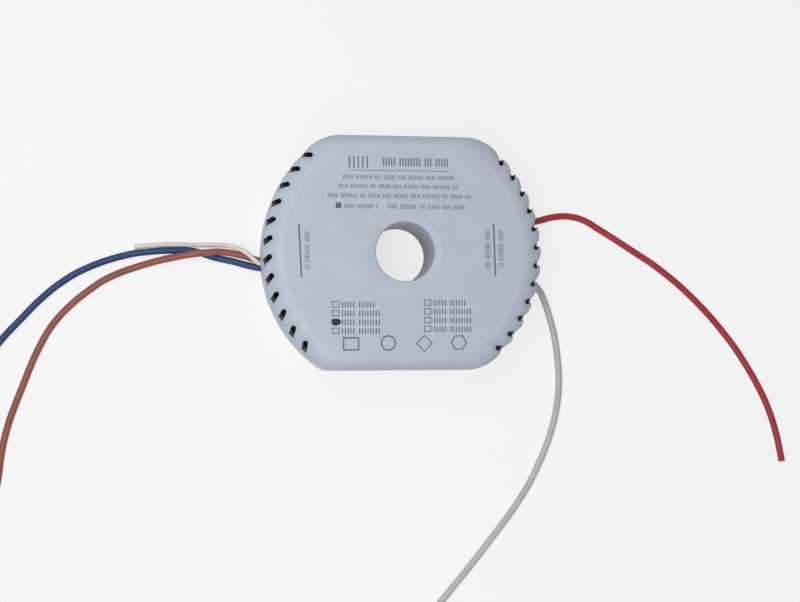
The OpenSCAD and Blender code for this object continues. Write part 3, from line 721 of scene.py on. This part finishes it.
class Surface:
    """A Principled material whose colour, roughness and relief come from noise in the object's own space."""

    def __init__(self, name, roughness=0.5, metallic=0, specular=0.5):
        self.material = bpy.data.materials.new(name)
        self.material.use_nodes = True
        self.tree = self.material.node_tree
        self.shader = self.tree.nodes["Principled BSDF"]
        self.shader.inputs["Roughness"].default_value = roughness
        self.shader.inputs["Metallic"].default_value = metallic
        self.shader.inputs["Specular IOR Level"].default_value = specular
        self.coordinates = self.tree.nodes.new("ShaderNodeTexCoord").outputs["Object"]

    def noise(self, scale, stretch=EVEN, detail=CLOUD_DETAIL):
        """Noise, finer with a larger scale."""
        mapping = self.tree.nodes.new("ShaderNodeMapping")
        mapping.inputs["Scale"].default_value = stretch
        self.tree.links.new(self.coordinates, mapping.inputs["Vector"])
        noise = self.tree.nodes.new("ShaderNodeTexNoise")
        noise.inputs["Scale"].default_value = scale
        noise.inputs["Detail"].default_value = detail
        self.tree.links.new(mapping.outputs["Vector"], noise.inputs["Vector"])
        return noise.outputs["Fac"]

    def ramp(self, factor, low, high, start=RAMP_START, end=RAMP_END):
        """Colour that goes from low to high while the factor goes from start to end."""
        ramp = self.tree.nodes.new("ShaderNodeValToRGB")
        ramp.color_ramp.elements[0].position = start
        ramp.color_ramp.elements[1].position = end
        ramp.color_ramp.elements[0].color = low
        ramp.color_ramp.elements[1].color = high
        self.tree.links.new(factor, ramp.inputs["Fac"])
        return ramp.outputs["Color"]

    def colour(self, low, high, scale, stretch=EVEN):
        """Colour that wanders between two."""
        clouds = self.ramp(self.noise(scale, stretch), low, high)
        self.tree.links.new(clouds, self.shader.inputs["Base Color"])
        return self

    def gloss(self, low, high, scale, stretch=EVEN):
        """Roughness that wanders between two values."""
        grey = self.ramp(self.noise(scale, stretch), (low, low, low, 1), (high, high, high, 1))
        self.tree.links.new(grey, self.shader.inputs["Roughness"])
        return self

    def relief(self, scale, height, stretch=EVEN):
        """Fine bumps of the stated height in metres."""
        self.bump = self.tree.nodes.new("ShaderNodeBump")
        self.bump.inputs["Strength"].default_value = 1
        self.bump.inputs["Distance"].default_value = height
        self.tree.links.new(self.noise(scale, stretch, GRAIN_DETAIL), self.bump.inputs["Height"])
        self.tree.links.new(self.bump.outputs["Normal"], self.shader.inputs["Normal"])
        return self


def moulded(name, low, high, rough=MOULD_ROUGH, grain=MOULD_GRAIN, height=MOULD_GRAIN_H):
    """Moulded plastic with a fine spark-eroded texture and slight clouds in its colour."""
    surface = Surface(name).colour(low, high, CLOUD_SCALE).gloss(*rough, MOULD_ROUGH_SCALE)
    return surface.relief(grain, height).material


def with_painted_bore_shade(surface, elsewhere):
    """Share of the plain colour: falling towards the foot of the bore's wall as painted shade, and as given
    elsewhere.
    """
    tree = surface.tree
    parts = tree.nodes.new("ShaderNodeSeparateXYZ")
    tree.links.new(surface.coordinates, parts.inputs["Vector"])
    x, y, z = parts.outputs
    across = math_node(tree, "ADD", math_node(tree, "MULTIPLY", x, x), math_node(tree, "MULTIPLY", y, y))
    in_bore = math_node(tree, "LESS_THAN", across, ((BORE_R + BORE_MARGIN) * MM) ** 2)
    # Painted shade: darker towards the foot of the bore
    rise = math_node(tree, "MULTIPLY", z, (BORE_TOP_SHARE - BORE_LOW_SHARE) / (BODY_H * MM))
    blend = tree.nodes.new("ShaderNodeMix")
    tree.links.new(in_bore, blend.inputs["Factor"])
    tree.links.new(elsewhere, blend.inputs["A"])
    tree.links.new(math_node(tree, "ADD", rise, BORE_LOW_SHARE), blend.inputs["B"])
    return blend.outputs["Result"]


def slot_shade(surface):
    """Share of the plain colour, which falls as painted shade where little of the sky is open."""
    hidden = surface.tree.nodes.new("ShaderNodeAmbientOcclusion")
    hidden.only_local = True
    hidden.samples = SHADE_SAMPLES
    hidden.inputs["Distance"].default_value = SHADE_REACH
    return surface.ramp(hidden.outputs["AO"], BLACK, WHITE, *SHADE_SPAN)


def shaded_plastic(name, low, high):
    """Moulded plastic with painted shade in narrow slots and down the bore, with slightly rounded edges."""
    surface = Surface(name).gloss(*MOULD_ROUGH, MOULD_ROUGH_SCALE).relief(MOULD_GRAIN, MOULD_GRAIN_H)
    tree = surface.tree
    # Painted shade: the dark shade colour mixed over the plastic's clouds in the slots and down the bore
    blend = tree.nodes.new("ShaderNodeMix")
    blend.data_type = "RGBA"
    tree.links.new(with_painted_bore_shade(surface, slot_shade(surface)), blend.inputs["Factor"])
    blend.inputs[MIX_A].default_value = srgb(*SHADE_RGB)
    tree.links.new(surface.ramp(surface.noise(CLOUD_SCALE), low, high), blend.inputs[MIX_B])
    tree.links.new(blend.outputs[MIX_RESULT], surface.shader.inputs["Base Color"])
    rounded = tree.nodes.new("ShaderNodeBevel")
    rounded.samples = EDGE_SAMPLES
    rounded.inputs["Radius"].default_value = EDGE_ROUND
    tree.links.new(rounded.outputs["Normal"], surface.bump.inputs["Normal"])
    return surface.material


def insulation(name, low, high):
    """Soft PVC: smooth and satin, with faint streaks."""
    surface = Surface(name, specular=0.3).colour(low, high, scale=160).gloss(0.38, 0.5, scale=500)
    return surface.relief(scale=900, height=0.01 * MM).material


def metal(name, low, high, rough=(0.25, 0.4), stretch=EVEN):
    """Bare metal, whose fine marks can be stretched along an axis."""
    surface = Surface(name, metallic=1).colour(low, high, 700, stretch).gloss(*rough, 500, stretch)
    return surface.relief(1500, 0.006 * MM, stretch).material


def laminate(name, low, high):
    """Circuit board under its solder mask."""
    surface = Surface(name).colour(low, high, scale=250).gloss(0.3, 0.45, scale=600)
    return surface.relief(scale=1400, height=0.02 * MM).material


def tape(name, low, high):
    """Glossy tape wound in level turns."""
    surface = Surface(name).colour(low, high, scale=120).gloss(0.25, 0.4, scale=300)
    return surface.relief(scale=700, height=0.05 * MM, stretch=(0.15, 0.15, 4)).material


def sleeve(name, low, high):
    """Shrunk plastic sleeve."""
    surface = Surface(name).colour(low, high, scale=140).gloss(0.22, 0.32, scale=300)
    return surface.relief(scale=600, height=0.015 * MM).material


def printing_ink(name, low, high):
    """Thin flat ink."""
    return Surface(name, specular=0.3).colour(low, high, scale=900).gloss(0.5, 0.7, scale=900).material


def pen_ink(name, low, high):
    """Ink of a felt pen, laid on unevenly."""
    surface = Surface(name, specular=0.3).colour(low, high, scale=1500).gloss(0.35, 0.6, scale=900)
    return surface.relief(scale=1800, height=0.02 * MM).material


materials = {}


def look(slot, kind, low, high, **finish):
    """Makes the material of one slot from its two colours as seen."""
    materials[slot] = kind(slot, srgb(*low), srgb(*high), **finish)


look("cover_plastic", shaded_plastic, (184, 192, 207), (189, 197, 212))
look("base_plastic", moulded, (222, 214, 204), (228, 221, 212))
look("screw_steel", metal, (178, 180, 184), (205, 206, 208))
look("board_laminate", laminate, (26, 62, 40), (36, 78, 50))
look("ferrite", moulded, (58, 58, 61), (74, 73, 75), rough=(0.5, 0.7), grain=1800, height=0.03 * MM)
look("bobbin_plastic", moulded, (28, 29, 32), (36, 37, 40))
look("winding_tape", tape, (206, 160, 48), (222, 180, 70))
look("coated_ferrite", moulded, (54, 86, 62), (66, 102, 74), rough=(0.35, 0.5), grain=1500, height=0.03 * MM)
look("copper_wire", metal, (176, 98, 54), (204, 128, 78), stretch=(1, 1, 3))
look("fuse_body", moulded, (214, 206, 186), (226, 219, 202))
look("blue_coating", moulded, (38, 82, 150), (52, 98, 168), rough=(0.25, 0.4), grain=800, height=0.05 * MM)
look("yellow_case", moulded, (212, 168, 52), (222, 180, 66))
look("black_mould", moulded, (34, 34, 36), (44, 44, 46), rough=(0.5, 0.65))
look("dark_sleeve", sleeve, (42, 46, 66), (52, 57, 78))
look("sink_aluminium", metal, (182, 186, 190), (204, 207, 210), rough=(0.3, 0.45), stretch=(1, 1, 0.1))
look("white_mould", moulded, (220, 217, 206), (230, 228, 219))
look("control_laminate", laminate, (38, 94, 108), (50, 110, 124))
look("blue_insulation", insulation, (29, 58, 103), (37, 68, 115))
look("brown_insulation", insulation, (140, 79, 65), (152, 91, 77))
look("pale_insulation", insulation, (222, 212, 204), (232, 224, 217))
look("red_insulation", insulation, (160, 43, 53), (174, 53, 63))
look("print_ink", printing_ink, (84, 92, 110), (100, 108, 126))
look("marker_ink", pen_ink, (14, 17, 27), (28, 33, 45))
look("white_insulation", insulation, (182, 185, 182), (195, 197, 194))


def dress(thing, slot):
    """Gives an object the material of a slot, alone."""
    thing.data.materials.clear()
    thing.data.materials.append(materials[slot])


for entry in frame["record"]["subparts"]:
    dress(cad[entry["node"]], entry["material_slot"])
for colour, (lead, core) in leads.items():
    dress(lead, colour + "_insulation")
    dress(core, "copper_wire")
dress(cover, "cover_plastic")
dress(face_print, "print_ink")
dress(marker_blot, "marker_ink")

# Floor and light

FLOOR_SIDE = 6
FLOOR_DROP = 0.1 * MM
FLOOR_LOW = srgb(231, 231, 233)
FLOOR_HIGH = srgb(236, 236, 238)
FLOOR_CLOUDS = 4
FLOOR_LIFT = 0.73
BACKDROP_COLOUR = srgb(239, 239, 240)
WORLD_STRENGTH = 0.27
KEY_AT = Vector((-0.2, -0.03, 0.58))
KEY_AIM = Vector((0, 0, 0))
KEY_LENGTH = 0.9
KEY_WIDTH = 0.25
KEY_WATTS = 3.0


def seen_ray(tree):
    """1 for rays that show a surface to the camera, straight or through gloss and glass, and 0 for light."""
    ray = tree.nodes.new("ShaderNodeLightPath").outputs
    seen = math_node(tree, "MAXIMUM", ray["Is Camera Ray"], ray["Is Glossy Ray"])
    return math_node(tree, "MAXIMUM", seen, ray["Is Transmission Ray"])


def mix_shaders(tree, factor, first, second, output):
    """Shows the first shader at factor 0 and the second at factor 1, on the tree's output."""
    mix = tree.nodes.new("ShaderNodeMixShader")
    tree.links.new(factor, mix.inputs["Fac"])
    tree.links.new(first, mix.inputs[1])
    tree.links.new(second, mix.inputs[2])
    tree.links.new(mix.outputs["Shader"], tree.nodes[output].inputs["Surface"])


def floor_paper():
    """Pale paper that keeps the object's shadow, lifted towards white where it is seen."""
    paper = Surface("floor_paper", roughness=0.9, specular=0.2).colour(FLOOR_LOW, FLOOR_HIGH, FLOOR_CLOUDS)
    tree = paper.tree
    glow = tree.nodes.new("ShaderNodeEmission")
    glow.inputs["Color"].default_value = WHITE
    glow.inputs["Strength"].default_value = 1
    lift = math_node(tree, "MULTIPLY", seen_ray(tree), FLOOR_LIFT)
    mix_shaders(tree, lift, paper.shader.outputs["BSDF"], glow.outputs["Emission"], "Material Output")
    return paper.material


def make_floor():
    """Wide floor just under the object."""
    bpy.ops.mesh.primitive_plane_add(size=FLOOR_SIDE, location=(0, 0, -FLOOR_DROP))
    floor = bpy.context.object
    floor.name = "floor"
    floor.data.materials.append(floor_paper())


def make_key():
    """Soft oblong lamp over the left side, aimed at the object."""
    data = bpy.data.lights.new("key", "AREA")
    data.energy = KEY_WATTS
    data.shape = "RECTANGLE"
    data.size = KEY_LENGTH
    data.size_y = KEY_WIDTH
    lamp = link(bpy.data.objects.new("key", data))
    lamp.location = KEY_AT
    lamp.rotation_euler = (KEY_AIM - KEY_AT).to_track_quat("-Z", "Y").to_euler()


def make_world():
    """Even white light from all round, with a pale backdrop where the camera sees past the floor."""
    world = bpy.data.worlds.new("world")
    world.use_nodes = True
    tree = world.node_tree
    light = tree.nodes["Background"]
    light.inputs["Color"].default_value = WHITE
    light.inputs["Strength"].default_value = WORLD_STRENGTH
    backdrop = tree.nodes.new("ShaderNodeBackground")
    backdrop.inputs["Color"].default_value = BACKDROP_COLOUR
    backdrop.inputs["Strength"].default_value = 1
    shown = backdrop.outputs["Background"]
    mix_shaders(tree, seen_ray(tree), light.outputs["Background"], shown, "World Output")
    bpy.context.scene.world = world


make_floor()
make_key()
make_world()
bpy.context.scene.view_settings.view_transform = "Standard"
